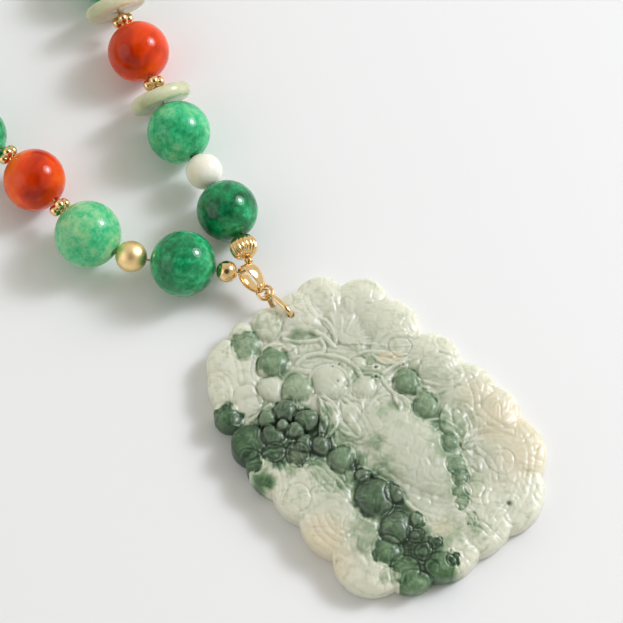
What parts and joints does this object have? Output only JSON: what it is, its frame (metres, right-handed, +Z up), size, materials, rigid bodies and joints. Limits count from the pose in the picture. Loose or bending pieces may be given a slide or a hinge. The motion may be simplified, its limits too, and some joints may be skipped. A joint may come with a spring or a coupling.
{
  "type": "beaded necklace with carved stone pendant",
  "caption": "Round stone bead necklace with gold spacers, a gold bail and a scalloped carved jade pendant, laid flat in a long loop.",
  "frame": {"origin": "under the middle of the whole laid-out necklace, on the surface it lies on", "axes": "+Y along the loop from the pendant towards the clasp, +Z up from the surface, face of the pendant up"},
  "size_m": [0.0788, 0.2368, 0.0106],
  "materials": {
    "pale_jade": "polished translucent jade",
    "green_jade": "polished",
    "orange_carnelian": "polished",
    "white_jade": "waxy polish",
    "grey_jade": "polished",
    "polished_gold": "polished gold",
    "satin_gold": "satin gold",
    "pale_thread": "plain beading thread"
  },
  "bodies": {
    "root": {"bail_loop": "polished_gold", "carved_pendant": "pale_jade", "clasp": "polished_gold", "fluted_gold_bead_right_1": "polished_gold", "gold_seed_bead_right_1": "polished_gold", "granule_ring_left_1": "polished_gold", "granule_ring_left_2": "polished_gold", "granule_ring_right_1": "polished_gold", "granule_ring_right_2": "polished_gold", "green_bead_left_1": "green_jade", "green_bead_left_10": "green_jade", "green_bead_left_11": "green_jade", "green_bead_left_12": "green_jade", "green_bead_left_13": "green_jade", "green_bead_left_14": "green_jade", "green_bead_left_2": "green_jade", "green_bead_left_3": "green_jade", "green_bead_left_4": "green_jade", "green_bead_left_5": "green_jade", "green_bead_left_6": "green_jade", "green_bead_left_7": "green_jade", "green_bead_left_8": "green_jade", "green_bead_left_9": "green_jade", "green_bead_right_1": "green_jade", "green_bead_right_10": "green_jade", "green_bead_right_11": "green_jade", "green_bead_right_12": "green_jade", "green_bead_right_13": "green_jade", "green_bead_right_14": "green_jade", "green_bead_right_2": "green_jade", "green_bead_right_3": "green_jade", "green_bead_right_4": "green_jade", "green_bead_right_5": "green_jade", "green_bead_right_6": "green_jade", "green_bead_right_7": "green_jade", "green_bead_right_8": "green_jade", "green_bead_right_9": "green_jade", "jade_disc_right_1": "grey_jade", "jade_disc_right_2": "grey_jade", "link_ring": "polished_gold", "orange_bead_left_1": "orange_carnelian", "orange_bead_right_1": "orange_carnelian", "pinch_clip": "polished_gold", "satin_gold_ball_left_1": "satin_gold", "satin_gold_ball_left_2": "satin_gold", "satin_gold_ball_left_3": "satin_gold", "satin_gold_ball_left_4": "satin_gold", "satin_gold_ball_left_5": "satin_gold", "satin_gold_ball_right_1": "satin_gold", "satin_gold_ball_right_2": "satin_gold", "satin_gold_ball_right_3": "satin_gold", "satin_gold_ball_right_4": "satin_gold", "small_gold_ball_left_1": "polished_gold", "string": "pale_thread", "white_bead_right_1": "white_jade"}
  },
  "joints": []
}
